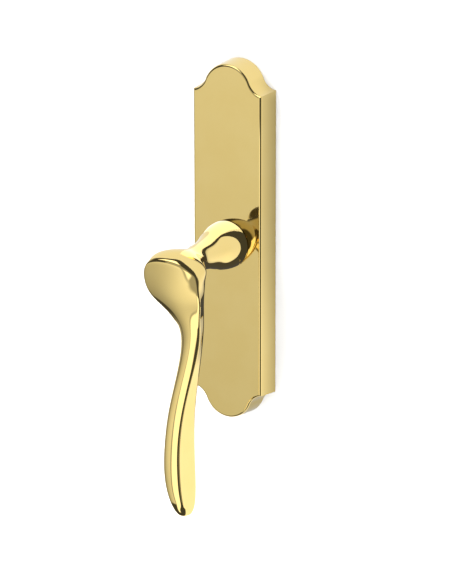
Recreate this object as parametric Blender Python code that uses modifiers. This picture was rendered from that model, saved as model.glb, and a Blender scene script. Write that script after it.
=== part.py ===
"""Cremone window handle: a hollow brass cover over a gearbox that drives two rods.

Frame: origin on the spindle's axis, in the face that lies on the sash.  +Z is up, the handle faces -Y and
+X is to the right of somebody who looks at the handle.  All lengths are in metres.
"""
import math
from collections import namedtuple

import bmesh
import bpy
from mathutils import Matrix, Vector

MM = 0.001
GAP = 0.3 * MM                    # clearance that every touching pair of pieces keeps

# Cover: a hollow box with a shouldered arch at both ends, measured at its back rim
COVER_WIDTH = 38.0 * MM
COVER_DEPTH = 12.5 * MM
COVER_HEIGHT = 172.4 * MM
COVER_WALL = 1.5 * MM
COVER_DRAFT = 1.0 * MM            # how much smaller the front is than the back rim, on every side
COVER_EDGE_RADIUS = 1.2 * MM
ARCH_RADIUS = 13.4 * MM           # convex middle of each end
SHOULDER_RADIUS = 8.0 * MM        # concave stretch from the arch to the corner
ARCH_SWEEP = math.radians(68.0)   # from the peak to where the shoulder takes over

# Gearbox
BASE_THICKNESS = 1.8 * MM
GEAR_MODULE = 1.25 * MM
GEAR_TEETH = 16
GEAR_PRESSURE_ANGLE = math.radians(20.0)
GEAR_BACKLASH = 0.30 * MM
GEAR_BACK = 2.4 * MM              # depths are distances in front of the sash
GEAR_FRONT = 5.2 * MM
COLLAR_RADIUS = 7.6 * MM
COLLAR_FRONT = 7.9 * MM
HOUSING_HALF_WIDTH = 16.2 * MM
HOUSING_HALF_HEIGHT = 56.0 * MM
HOUSING_WALL = 2.0 * MM
HOUSING_FRONT = 8.0 * MM
END_BLOCK = 4.4 * MM
LID_BACK = HOUSING_FRONT + GAP
LID_THICKNESS = 1.0 * MM
DETENT_BLOCK = (12.0 * MM, 24.0 * MM)
DETENT_DEPTH = 6.75 * MM          # the detent pins' axis
DETENT_PIN_RADIUS = 1.1 * MM

# Rods' pegs
PEG_RADIUS = 3.0 * MM
PEG_HEIGHT = 46.0 * MM            # above and below the spindle, rods shut
PEG_REACH = 11.0 * MM             # behind the sash face
PITCH_RADIUS = GEAR_MODULE * GEAR_TEETH / 2
RACK_STROKE = PITCH_RADIUS * math.pi / 2

# Spindle, bush and neck
SPINDLE_WIDTH = 7.0 * MM
SPINDLE_FRONT = COVER_DEPTH + 23.0 * MM
BUSH_RADIUS = 8.7 * MM
BUSH_FRONT = COVER_DEPTH + 3.0 * MM
NECK_BASE = COVER_DEPTH + GAP
NECK_SEAT_RADIUS = 10.6 * MM
NECK_SEAT_DEPTH = 1.0 * MM        # recess in the neck that hides the washer
GRUB_DEPTH = COVER_DEPTH + 12.0 * MM

# Fasteners
FIXING_HEIGHT = 64.0 * MM
FIXING_RADIUS = 2.3 * MM
CASE_SCREW_X = 12.5 * MM
CASE_SCREW_Z = 53.8 * MM
CASE_SCREW_RADIUS = 1.1 * MM
CLIP_RIVET_Z = 74.0 * MM

FACING_FRONT = (math.pi / 2, 0.0, 0.0)   # local Z becomes the depth in front of the sash, local Y is up


# ---------------------------------------------------------------- scene, materials and small helpers

def clear_scene():
    for obj in list(bpy.data.objects):
        bpy.data.objects.remove(obj, do_unlink=True)


def new_collection(name):
    collection = bpy.data.collections.new(name)
    bpy.context.scene.collection.children.link(collection)
    return collection


def metal(name, colour, roughness, metallic=1.0):
    material = bpy.data.materials.new(name)
    material.use_nodes = True
    shader = material.node_tree.nodes["Principled BSDF"]
    shader.inputs["Base Color"].default_value = (*colour, 1.0)
    shader.inputs["Roughness"].default_value = roughness
    shader.inputs["Metallic"].default_value = metallic
    material.diffuse_color = (*colour, 1.0)
    return material


clear_scene()
PARTS = new_collection("cremone_window_handle")
CUTTERS = new_collection("cutters")

BRASS = metal("polished_brass", (0.86, 0.66, 0.28), 0.08)
ZINC = metal("zinc_plated_steel", (0.62, 0.64, 0.66), 0.35)
STEEL = metal("bright_steel", (0.56, 0.57, 0.58), 0.28)
SPRING_STEEL = metal("spring_steel", (0.36, 0.37, 0.40), 0.30)
DIE_CAST = metal("die_cast_zinc", (0.50, 0.51, 0.53), 0.48)
NYLON = metal("white_nylon", (0.82, 0.81, 0.76), 0.50, metallic=0.0)
BLACK_OXIDE = metal("black_oxide_steel", (0.05, 0.05, 0.055), 0.40)


def add_object(name, data, material=None, location=(0, 0, 0), rotation=(0, 0, 0)):
    """Link data as a part, or as a hidden cutter where it has no material."""
    obj = bpy.data.objects.new(name, data)
    obj.location = location
    obj.rotation_euler = rotation
    if material:
        data.materials.append(material)
        PARTS.objects.link(obj)
    else:
        CUTTERS.objects.link(obj)
        obj.hide_render = True
        obj.display_type = "WIRE"
    return obj


def parent_to(pieces, holder):
    """Hang pieces on a joint's empty without moving them."""
    bpy.context.view_layer.update()
    for piece in pieces:
        piece.parent = holder
        piece.matrix_parent_inverse = holder.matrix_world.inverted()


def joint_empty(name, location=(0, 0, 0)):
    empty = bpy.data.objects.new(name, None)
    empty.location = location
    empty.empty_display_size = 0.01
    PARTS.objects.link(empty)
    return empty


def box(name, low, high, material=None):
    """An upright box between two corners in world axes."""
    low, high = Vector(low), Vector(high)
    bm = bmesh.new()
    bmesh.ops.create_cube(bm, size=1.0)
    bmesh.ops.scale(bm, vec=high - low, verts=bm.verts)
    mesh = bpy.data.meshes.new(name)
    bm.to_mesh(mesh)
    bm.free()
    return add_object(name, mesh, material, location=(low + high) / 2)


def turned(name, profile, material=None, steps=32, location=(0, 0, 0), rotation=FACING_FRONT, ring=False):
    """Turn a profile of (radius, height) points, listed down its outer side, about the local Z axis."""
    bm = bmesh.new()
    verts = [bm.verts.new((radius, 0.0, height)) for radius, height in profile]
    for first, second in zip(verts, verts[1:]):
        bm.edges.new((first, second))
    if ring:
        bm.edges.new((verts[-1], verts[0]))
    mesh = bpy.data.meshes.new(name)
    bm.to_mesh(mesh)
    bm.free()
    obj = add_object(name, mesh, material, location, rotation)
    screw = obj.modifiers.new("turn", "SCREW")
    screw.steps = screw.render_steps = steps
    screw.use_merge_vertices = True
    screw.merge_threshold = 0.00001
    screw.use_smooth_shade = True
    return obj


def rod(name, radius, low, high, material=None, steps=32, **place):
    """A plain cylinder from low to high along the local Z axis."""
    return turned(name, [(0, high), (radius, high), (radius, low), (0, low)], material, steps, **place)


def ring(name, inner, outer, low, high, material=None, steps=40, **place):
    profile = [(inner, high), (outer, high), (outer, low), (inner, low)]
    return turned(name, profile, material, steps, ring=True, **place)


def arc(centre, radius, start, end, steps):
    """Points of an arc, angles anticlockwise from +X."""
    return [(centre[0] + radius * math.cos(start + (end - start) * i / steps),
             centre[1] + radius * math.sin(start + (end - start) * i / steps))
            for i in range(steps + 1)]


def circle(centre, radius, steps=24):
    return arc(centre, radius, 0.0, 2 * math.pi, steps)[:-1]


def slot(x, low, high, radius, steps=8):
    """A round-ended slot that runs up from low to high, between the ends' centres."""
    return (arc((x, high), radius, 0.0, math.pi, steps)
            + arc((x, low), radius, math.pi, 2 * math.pi, steps))


def rectangle(low, high):
    return [low, (high[0], low[1]), high, (low[0], high[1])]


def flat_plate(name, outlines, back, front, material=None):
    """A plate with holes, between two depths in front of the sash; outlines are (x, z) loops."""
    curve = bpy.data.curves.new(name, "CURVE")
    curve.dimensions = "2D"
    curve.fill_mode = "BOTH"
    curve.extrude = (front - back) / 2
    for outline in outlines:
        spline = curve.splines.new("POLY")
        spline.points.add(len(outline) - 1)
        for point, (x, z) in zip(spline.points, outline):
            point.co = (x, z, 0.0, 1.0)
        spline.use_cyclic_u = True
    place = (0.0, -(front + back) / 2, 0.0)
    return add_object(name, curve, material, place, FACING_FRONT)


def as_mesh(curve_object):
    """Replace a curve object by its welded mesh, so that it can be cut or joined."""
    bpy.context.view_layer.update()
    evaluated = curve_object.evaluated_get(bpy.context.evaluated_depsgraph_get())
    mesh = bpy.data.meshes.new_from_object(evaluated)
    bm = bmesh.new()
    bm.from_mesh(mesh)
    bmesh.ops.remove_doubles(bm, verts=bm.verts, dist=0.000001)
    bm.to_mesh(mesh)
    bm.free()
    name, place = curve_object.name, curve_object.matrix_world.copy()
    is_cutter = curve_object.hide_render
    material = None if is_cutter else curve_object.data.materials[0]
    bpy.data.objects.remove(curve_object, do_unlink=True)
    if material:
        mesh.materials.clear()
    obj = add_object(name, mesh, material)
    obj.matrix_world = place
    return obj


def combine(obj, other, operation="DIFFERENCE"):
    modifier = obj.modifiers.new(f"{operation.lower()}_{other.name}", "BOOLEAN")
    modifier.operation = operation
    modifier.object = other
    modifier.solver = "EXACT"
    return obj


# ---------------------------------------------------------------- cover

def ogee_outline(inset=0.0, steps=6):
    """The cover's outline, shrunk by inset: straight sides, concave shoulders and a convex arch."""
    arch_z = COVER_HEIGHT / 2 - ARCH_RADIUS
    reach = ARCH_RADIUS + SHOULDER_RADIUS
    shoulder_x = reach * math.sin(ARCH_SWEEP)
    shoulder_z = arch_z + reach * math.cos(ARCH_SWEEP)
    half_width = COVER_WIDTH / 2 - inset
    radius = SHOULDER_RADIUS + inset
    up = math.pi / 2
    corner = math.acos((shoulder_x - half_width) / radius)
    right = arc((shoulder_x, shoulder_z), radius, math.pi + corner, 1.5 * math.pi - ARCH_SWEEP, steps)
    arch = arc((0, arch_z), ARCH_RADIUS - inset, up - ARCH_SWEEP, up + ARCH_SWEEP, 3 * steps)
    left = [(-x, z) for x, z in reversed(right)]
    top = right + arch[1:-1] + left
    return top + [(-x, -z) for x, z in top]


def ogee_block(name, inset, back, front, material=None, steps=6):
    """A solid block with the cover's outline that narrows towards the front with the cover's draft."""
    slope = COVER_DRAFT / COVER_DEPTH
    bm = bmesh.new()
    weight = bm.edges.layers.float.new("bevel_weight_edge")
    rings = [[bm.verts.new((x, -depth, z)) for x, z in ogee_outline(inset + slope * depth, steps)]
             for depth in (back, front)]
    count = len(rings[0])
    for i in range(count):
        j = (i + 1) % count
        bm.faces.new((rings[0][i], rings[0][j], rings[1][j], rings[1][i]))
        bm.edges.get((rings[1][i], rings[1][j]))[weight] = 1.0
    for loop in rings:
        bm.faces.new(loop)
    bmesh.ops.recalc_face_normals(bm, faces=bm.faces)
    mesh = bpy.data.meshes.new(name)
    bm.to_mesh(mesh)
    bm.free()
    return add_object(name, mesh, material)


def make_cover():
    cover = ogee_block("cover", 0.0, 0.0, COVER_DEPTH, BRASS)
    rounding = cover.modifiers.new("front_edge", "BEVEL")
    rounding.limit_method = "WEIGHT"
    rounding.width = COVER_EDGE_RADIUS
    rounding.segments = 3
    combine(cover, ogee_block("cover_inside", COVER_WALL, -2 * MM, COVER_DEPTH - COVER_WALL, steps=4))
    combine(cover, rod("cover_hole", BUSH_RADIUS + GAP, 5 * MM, 20 * MM, steps=40))
    return cover


# ---------------------------------------------------------------- base, housing and lid

def case_screw_places():
    return [(side * CASE_SCREW_X, end * CASE_SCREW_Z) for end in (1, -1) for side in (1, -1)]


def make_base_plate():
    peg_clearance = 0.6 * MM
    outlines = [ogee_outline(COVER_WALL + GAP, 4)]
    for side in (1, -1):
        ends = sorted((side * PEG_HEIGHT, side * (PEG_HEIGHT - RACK_STROKE)))
        outlines.append(slot(0.0, ends[0], ends[1], PEG_RADIUS + peg_clearance))
        outlines.append(circle((0, side * FIXING_HEIGHT), FIXING_RADIUS + 0.4 * MM))
        outlines.append(circle((0, side * CLIP_RIVET_Z), 1.7 * MM, 16))
    outlines += [circle(place, CASE_SCREW_RADIUS + GAP, 16) for place in case_screw_places()]
    plate = as_mesh(flat_plate("base_plate", outlines, 0.0, BASE_THICKNESS, ZINC))
    combine(plate, rod("rear_bush_pocket", 5.5 * MM, 0.8 * MM, 4 * MM))
    return plate


def make_gear_housing():
    """A frame with two side walls, an end block at each end and two bridges over the racks."""
    half_width, half_height = HOUSING_HALF_WIDTH, HOUSING_HALF_HEIGHT
    inner = half_width - HOUSING_WALL
    block_width = PITCH_RADIUS - GEAR_MODULE - 0.35 * MM
    back = BASE_THICKNESS + GAP
    outer_loop = rectangle((-half_width, -half_height), (half_width, half_height))
    holes = [circle(place, CASE_SCREW_RADIUS + GAP, 16) for place in case_screw_places()]
    middle = rectangle((-inner, END_BLOCK - half_height), (inner, half_height - END_BLOCK))
    housing = as_mesh(flat_plate("gear_housing", [outer_loop, middle] + holes, back, HOUSING_FRONT,
                                 DIE_CAST))
    near, far = DETENT_BLOCK
    for side, label in ((1, "upper"), (-1, "lower")):
        low, high = sorted((side * near, side * far))
        bridge = box(f"{label}_bridge", (-inner - 1 * MM, -HOUSING_FRONT, low),
                     (inner + 1 * MM, -GEAR_FRONT - 0.5 * MM, high))
        block = box(f"{label}_block", (-block_width, -GEAR_FRONT - 1 * MM, low),
                    (block_width, -back, high))
        combine(housing, bridge, "UNION")
        combine(housing, block, "UNION")
        groove_ends = sorted((side * (near - 1 * MM), side * (far - 1.6 * MM)))
        groove_radius = DETENT_PIN_RADIUS + GAP
        groove = box(f"{label}_groove", (-groove_radius, -HOUSING_FRONT - 1 * MM, groove_ends[0]),
                     (groove_radius, groove_radius - DETENT_DEPTH, groove_ends[1]))
        combine(housing, groove)
    combine(housing, rod("pinion_room", PITCH_RADIUS + GEAR_MODULE + 0.6 * MM, 0.0, GEAR_FRONT + 0.4 * MM,
                         steps=48))
    return housing


def make_housing_lid():
    half_width, half_height = HOUSING_HALF_WIDTH, HOUSING_HALF_HEIGHT
    outlines = [rectangle((-half_width, -half_height), (half_width, half_height)),
                circle((0, 0), 5.6 * MM, 32)]
    outlines += [circle(place, CASE_SCREW_RADIUS + GAP, 16) for place in case_screw_places()]
    return flat_plate("housing_lid", outlines, LID_BACK, LID_BACK + LID_THICKNESS, ZINC)


# ---------------------------------------------------------------- bushes and washer

def make_bushes():
    flange_back = LID_BACK + LID_THICKNESS + GAP
    flange_front = COVER_DEPTH - COVER_WALL - GAP
    bore = SPINDLE_WIDTH / 2 * math.sqrt(2) + 0.4 * MM
    profile = [(bore, BUSH_FRONT), (BUSH_RADIUS, BUSH_FRONT), (BUSH_RADIUS, flange_front),
               (BUSH_RADIUS + 2 * MM, flange_front), (BUSH_RADIUS + 2 * MM, flange_back),
               (bore, flange_back)]
    front_bush = turned("front_bush", profile, NYLON, 32, ring=True)
    rear_bush = ring("rear_bush", 3.7 * MM, 5.2 * MM, 1.1 * MM, BASE_THICKNESS + GAP, NYLON, 28)
    washer = ring("neck_washer", BUSH_RADIUS + GAP, NECK_SEAT_RADIUS - GAP, NECK_BASE,
                  NECK_BASE + NECK_SEAT_DEPTH - GAP, NYLON, 32)
    return [front_bush, rear_bush, washer]


# ---------------------------------------------------------------- pinion, racks and pegs

def involute_pinion_outline(steps=4):
    """The pinion's outline, with involute flanks thinned by half of the backlash."""
    base_radius = PITCH_RADIUS * math.cos(GEAR_PRESSURE_ANGLE)
    tip_radius = PITCH_RADIUS + GEAR_MODULE
    root_radius = PITCH_RADIUS - 1.25 * GEAR_MODULE
    involute = math.tan(GEAR_PRESSURE_ANGLE) - GEAR_PRESSURE_ANGLE
    half_tooth = math.pi / (2 * GEAR_TEETH) - GEAR_BACKLASH / (4 * PITCH_RADIUS)
    flank = [(root_radius, half_tooth + involute)]
    for i in range(steps + 1):
        radius = base_radius + (tip_radius - base_radius) * i / steps
        pressure = math.acos(min(1.0, base_radius / radius))
        flank.append((radius, half_tooth + involute - (math.tan(pressure) - pressure)))
    outline = []
    for tooth in range(GEAR_TEETH):
        middle = (tooth + 0.5) * 2 * math.pi / GEAR_TEETH
        sides = [(r, middle - a) for r, a in flank] + [(r, middle + a) for r, a in reversed(flank)]
        outline += [(r * math.cos(a), r * math.sin(a)) for r, a in sides]
    return outline


def make_pinion():
    pinion = as_mesh(flat_plate("pinion", [involute_pinion_outline()], GEAR_BACK, GEAR_FRONT, STEEL))
    combine(pinion, rod("collar", COLLAR_RADIUS, GEAR_FRONT - 1 * MM, COLLAR_FRONT, steps=48), "UNION")
    hole = SPINDLE_WIDTH / 2 + GAP
    combine(pinion, box("pinion_hole", (-hole, -20 * MM, -hole), (hole, 0, hole)))
    combine(pinion, rod("circlip_recess", 6.2 * MM, COLLAR_FRONT - 1.1 * MM, COLLAR_FRONT + 1 * MM))
    notch_depth, notch_width = 0.6 * MM, 1.1 * MM
    notch = [(COLLAR_RADIUS - notch_depth, 0), (COLLAR_RADIUS + 1 * MM, notch_width * 2),
             (COLLAR_RADIUS + 1 * MM, -notch_width * 2)]
    for quarter in range(4):
        turn = Matrix.Rotation(quarter * math.pi / 2, 2)
        loop = [tuple(turn @ Vector(point)) for point in notch]
        combine(pinion, as_mesh(flat_plate(f"notch_{quarter + 1}", [loop], GEAR_FRONT + GAP,
                                           COLLAR_FRONT + 1 * MM)))
    return pinion


def rack_outline():
    """The upper rack: a toothed bar right of the pinion, with an arm to the peg on the centre line."""
    pitch = math.pi * GEAR_MODULE
    slope = math.tan(GEAR_PRESSURE_ANGLE)
    tip_x = PITCH_RADIUS - GEAR_MODULE
    root_x = PITCH_RADIUS + 1.25 * GEAR_MODULE
    back_x = HOUSING_HALF_WIDTH - HOUSING_WALL - 0.4 * MM
    half_tip = pitch / 4 - GEAR_MODULE * slope - GEAR_BACKLASH / 4
    half_root = pitch / 4 + 1.25 * GEAR_MODULE * slope - GEAR_BACKLASH / 4
    first, last = -2, 5
    arm = 5.0 * MM
    loop = [(back_x, first * pitch - pitch / 2)]
    loop += [(back_x, PEG_HEIGHT + arm), (-arm, PEG_HEIGHT + arm), (-arm, PEG_HEIGHT - arm),
             (root_x - 1.5 * MM, PEG_HEIGHT - arm), (root_x, PEG_HEIGHT - arm - 1.5 * MM)]
    for tooth in range(last, first - 1, -1):
        z = tooth * pitch
        loop += [(root_x, z + half_root), (tip_x, z + half_tip), (tip_x, z - half_tip),
                 (root_x, z - half_root)]
    loop.append((root_x, first * pitch - pitch / 2))
    return loop


def make_rack(label, side):
    """The lower rack is the upper one turned half a turn about the spindle."""
    loops = [rack_outline(), circle((0, PEG_HEIGHT), 2.3 * MM, 20)]
    loops = [[(side * x, side * z) for x, z in loop] for loop in loops]
    return flat_plate(f"{label}_rack", loops, GEAR_BACK, GEAR_FRONT, STEEL)


def make_peg(label, side):
    chamfer = 0.5 * MM
    shoulder = GEAR_BACK - GAP
    profile = [(0, GEAR_FRONT), (2.0 * MM, GEAR_FRONT), (2.0 * MM, shoulder), (PEG_RADIUS, shoulder),
               (PEG_RADIUS, chamfer - PEG_REACH), (PEG_RADIUS - chamfer, -PEG_REACH), (0, -PEG_REACH)]
    return turned(f"{label}_drive_peg", profile, ZINC, 28, location=(0, 0, side * PEG_HEIGHT))


# ---------------------------------------------------------------- detents

def make_detent(label, side):
    """A spring-loaded pin above or below the collar; local Z points away from the spindle."""
    radius = DETENT_PIN_RADIUS
    tip = COLLAR_RADIUS + 0.15 * MM
    tail = 15.0 * MM
    away = (0, 0, 0) if side > 0 else (math.pi, 0, 0)
    place = (0, -DETENT_DEPTH, 0)
    nose = arc((0, tip + radius), radius, 0, -math.pi / 2, 5)
    profile = [(0, tail), (0.7 * radius, tail), (radius, tail - 0.3 * radius)]
    profile += [(max(0.0, x), z) for x, z in nose[:-1]] + [(0, tip)]
    pin = turned(f"{label}_detent_pin", profile, STEEL, 20, location=place, rotation=away)
    spring = bpy.data.curves.new(f"{label}_detent_spring", "CURVE")
    spring.dimensions = "3D"
    spring.bevel_depth = 0.2 * MM
    spring.bevel_resolution = 2
    spring.use_fill_caps = True
    turns, per_turn, coil_radius = 6, 8, 0.8 * MM
    low, high = tail + 0.5 * MM, DETENT_BLOCK[1] - 2.1 * MM
    path = spring.splines.new("POLY")
    path.points.add(turns * per_turn)
    for i, point in enumerate(path.points):
        angle = 2 * math.pi * i / per_turn
        height = low + (high - low) * i / (turns * per_turn)
        point.co = (coil_radius * math.cos(angle), coil_radius * math.sin(angle), height, 1.0)
    coil = add_object(f"{label}_detent_spring", spring, SPRING_STEEL, place, away)
    return pin, coil


# ---------------------------------------------------------------- spindle, circlip and grub screw

def make_spindle():
    half = SPINDLE_WIDTH / 2
    spindle = box("spindle", (-half, -SPINDLE_FRONT, -half), (half, -1.2 * MM, half), STEEL)
    journal = 3.4 * MM
    groove = (COLLAR_FRONT - 0.95 * MM, COLLAR_FRONT - 0.05 * MM)
    groove_radius = 4.2 * MM
    wide = SPINDLE_WIDTH
    nose = SPINDLE_FRONT + 1 * MM
    chamfer_end = SPINDLE_FRONT - 4 * MM
    profile = [(0, nose), (half * 1.2, nose), (half * 1.36, SPINDLE_FRONT - 1 * MM), (wide, chamfer_end),
               (wide, groove[1]), (groove_radius, groove[1]), (groove_radius, groove[0]),
               (wide, groove[0]), (wide, GEAR_BACK), (journal, GEAR_BACK), (journal, 0), (0, 0)]
    combine(spindle, turned("spindle_envelope", profile, steps=32), "INTERSECT")
    return spindle


def make_circlip():
    """An open ring that grips the grooves in the spindle's corners."""
    start, end = math.radians(-235), math.radians(55)
    outer = arc((0, 0), 5.8 * MM, start, end, 28)
    inner = arc((0, 0), 4.5 * MM, end, start, 28)
    back, front = COLLAR_FRONT - 0.85 * MM, COLLAR_FRONT - 0.15 * MM
    return flat_plate("spindle_circlip", [outer + inner], back, front, BLACK_OXIDE)


def make_grub_screw():
    low = SPINDLE_WIDTH / 2 + GAP
    high = low + 4.6 * MM
    radius = 2.2 * MM
    profile = [(0, high), (radius - GAP, high), (radius, high - GAP), (radius, low + 0.6 * MM),
               (radius - 0.6 * MM, low), (0, low)]
    screw = turned("neck_grub_screw", profile, BLACK_OXIDE, 24, location=(0, -GRUB_DEPTH, 0),
                   rotation=(math.pi, 0, 0))
    hexagon = rod("grub_socket", 1.25 * MM, high - 2.2 * MM, high + 1 * MM, steps=6,
                  location=(0, -GRUB_DEPTH, 0), rotation=(math.pi, 0, 0))
    return combine(screw, hexagon)


# ---------------------------------------------------------------- fasteners

def make_case_screw(index, place):
    head_back = LID_BACK + LID_THICKNESS + GAP
    head_front = head_back + 0.9 * MM
    head, shank = 2.2 * MM, CASE_SCREW_RADIUS
    profile = [(0, head_front), (head - 0.4 * MM, head_front), (head, head_front - 0.4 * MM),
               (head, head_back), (shank, head_back), (shank, 0.6 * MM), (shank - GAP, GAP), (0, GAP)]
    where = (place[0], 0, place[1])
    screw = turned(f"case_screw_{index}", profile, ZINC, 20, location=where)
    slot_half = 0.3 * MM
    cut = box(f"case_screw_slot_{index}", (place[0] - 4 * MM, -head_front - 1 * MM, place[1] - slot_half),
              (place[0] + 4 * MM, 0.45 * MM - head_front, place[1] + slot_half))
    return combine(screw, cut)


def make_fixing_screw(label, side):
    """A pan-headed wood screw; its thread is a row of ridges."""
    head_back = BASE_THICKNESS + GAP
    head_front = head_back + 2.6 * MM
    head, root, crest = 4.2 * MM, 1.6 * MM, FIXING_RADIUS
    pitch, ridges, tip = 1.8 * MM, 8, -19.0 * MM
    profile = [(0, head_front), (head - 1.2 * MM, head_front), (head, head_front - 1.2 * MM),
               (head, head_back), (crest, head_back), (crest, 0.5 * MM), (root, 0.0)]
    for i in range(ridges):
        z = -pitch * (i + 0.5)
        profile += [(crest, z), (root, z - pitch / 2)]
    profile += [(root, tip + 3.5 * MM), (0, tip)]
    where = (0, 0, side * FIXING_HEIGHT)
    screw = turned(f"{label}_fixing_screw", profile, ZINC, 20, location=where)
    for arm, (dx, dz) in enumerate(((2.4, 0.45), (0.45, 2.4))):
        low = (-dx * MM, -head_front - 1 * MM, side * FIXING_HEIGHT - dz * MM)
        high = (dx * MM, 1.6 * MM - head_front, side * FIXING_HEIGHT + dz * MM)
        combine(screw, box(f"{label}_cross_{arm}", low, high))
    return screw


def make_cover_clip(label, side):
    """A bent spring strip: a riveted foot and a bowed leaf that presses inside the cover's arch."""
    thickness = 0.6 * MM
    back = BASE_THICKNESS + GAP
    reach = COVER_HEIGHT / 2 - COVER_WALL - COVER_DRAFT - 0.5 * MM
    middle = [(70.0 * MM, back), (reach - 1.6 * MM, back), (reach - 0.9 * MM, back + 0.7 * MM),
              (reach - 0.9 * MM, 4.8 * MM), (reach, 6.6 * MM), (reach - 2.0 * MM, 9.6 * MM)]
    offset = [(0, 1), (-0.41, 1), (-1, 0.41), (-1, 0.2), (-1, 0), (-0.84, -0.54)]
    inner = [(z + dz * thickness, d + dd * thickness) for (z, d), (dz, dd) in zip(middle, offset)]
    loop = middle + inner[::-1]
    curve = bpy.data.curves.new(f"{label}_cover_clip", "CURVE")
    curve.dimensions = "2D"
    curve.fill_mode = "BOTH"
    curve.extrude = 2.5 * MM
    spline = curve.splines.new("POLY")
    spline.points.add(len(loop) - 1)
    for point, (z, depth) in zip(spline.points, loop):
        point.co = (z, depth, 0.0, 1.0)
    spline.use_cyclic_u = True
    turn = Matrix(((0, 0, 1), (0, -1, 0), (1, 0, 0))).to_euler()
    clip = add_object(f"{label}_cover_clip", curve, SPRING_STEEL, rotation=turn)
    if side < 0:
        clip.rotation_euler = (Matrix.Rotation(math.pi, 3, "Y") @ turn.to_matrix()).to_euler()
    clip = as_mesh(clip)
    where = (0, 0, side * CLIP_RIVET_Z)
    return combine(clip, rod(f"{label}_rivet_hole", 1.7 * MM, 1 * MM, 5 * MM, steps=16, location=where))


def make_clip_rivet(label, side):
    head_back = BASE_THICKNESS + 0.6 * MM + 2 * GAP
    head_front = head_back + 0.8 * MM
    profile = [(0, head_front), (1.6 * MM, head_front), (2.5 * MM, head_front - 0.5 * MM),
               (2.5 * MM, head_back), (1.4 * MM, head_back), (1.4 * MM, GAP), (0, GAP)]
    return turned(f"{label}_clip_rivet", profile, ZINC, 20, location=(0, 0, side * CLIP_RIVET_Z))


# ---------------------------------------------------------------- lever casting

# One station of the casting: the centre of a section (depth counts from the cover's face), how far the
# section has turned from facing the viewer (0, in the neck) to facing down (90, in the lever), its roll, its
# half width, its reach to the outer and the inner side, the power of its superellipse (2 is an ellipse) and
# how far it has changed from that superellipse to the grip's own section (1 is all the way).  Lengths in
# millimetres, angles in degrees.
Station = namedtuple("Station", "x depth z tilt roll width outer inner power grip")

NECK_PROFILE = [(0.3, 11.3), (4.0, 11.1), (8.0, 10.4), (12.0, 9.3), (16.5, 7.8), (22.0, 6.7), (28.0, 6.2)]

HEAD_STATIONS = [
    Station(0.0, 33.0, -0.2, 4, 4, 7.4, 6.3, 6.8, 2.0, 0),
    Station(-0.2, 37.2, -0.5, 14, 10, 10.2, 7.9, 7.2, 2.1, 0),
    Station(-0.4, 41.0, -0.9, 28, 14, 12.6, 9.2, 8.0, 2.3, 0),
    Station(-0.4, 44.2, -2.8, 47, 12, 13.5, 8.8, 8.4, 2.6, 0),
    Station(-0.1, 45.2, -8.0, 72, 4, 13.3, 6.8, 6.9, 2.7, 0),
    Station(1.7, 45.3, -14.0, 90, 0, 11.6, 6.4, 6.3, 2.6, 0),
]

LEVER_STATIONS = [
    Station(5.2, 45.3, -20.0, 90, 0, 8.0, 5.8, 5.7, 2.5, 0),
    Station(7.4, 45.3, -26.0, 90, 0, 5.8, 5.2, 5.1, 2.4, 0),
    Station(7.9, 45.3, -33.0, 90, 0, 4.9, 4.8, 4.7, 2.3, 0),
    Station(7.0, 45.3, -42.0, 90, 0, 5.0, 4.9, 4.8, 2.2, 0.25),
    Station(4.8, 45.3, -54.0, 90, 0, 5.6, 5.4, 5.3, 2.1, 0.6),
    Station(2.4, 45.3, -68.0, 90, 0, 6.3, 6.2, 6.1, 2.1, 0.85),
    Station(1.2, 45.3, -83.0, 90, 0, 6.8, 7.0, 6.9, 2.1, 1),
    Station(1.2, 45.3, -97.0, 90, 0, 7.0, 7.4, 7.4, 2.1, 1),
    Station(2.2, 45.3, -107.5, 90, 0, 6.2, 6.8, 6.8, 2.1, 1),
    Station(3.3, 45.3, -114.5, 90, 0, 4.8, 5.1, 5.1, 2.0, 1),
    Station(3.9, 45.3, -118.4, 90, 0, 2.6, 2.8, 2.8, 2.0, 1),
]
TIP = (4.0, 45.3, -119.6)

HEAD_CORNERS = (0, 60, 95, 135, 180, 225, 265, 300)   # degrees from the outer side, towards the right
# The grip's section: the same eight corners, as shares of its half width and of its outer and inner reach.
# A flat front and a flat right flank meet at the ridge, which is the second corner.
GRIP_CORNERS = ((-0.40, 1.13), (0.34, 0.85), (0.66, 0.17), (0.80, -0.52),
                (0.36, -0.96), (-0.32, -0.87), (-0.81, -0.28), (-0.78, 0.60))
RIDGE_HEIGHT = 1.03               # the ridge stands this much proud of the superellipse
RIDGE_CREASE = 0.45
HEAD_CREASE = 0.8                 # beside the head's flat front the ridge is sharper
# The head's front ends in a cut corner: (station, share of the way from its ridge to the face's middle line).
BROW_CUT = ((3, 0.08), (4, 0.08))


def in_front(x, depth, z):
    """A point of the casting in metres, from millimetres and a depth in front of the cover's face."""
    return Vector((x * MM, -COVER_DEPTH - depth * MM, z * MM))


def neck_ring(depth, radius):
    angles = [math.pi / 4 * i for i in range(8)]
    return [in_front(radius * math.sin(angle), depth, radius * math.cos(angle)) for angle in angles]


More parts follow.
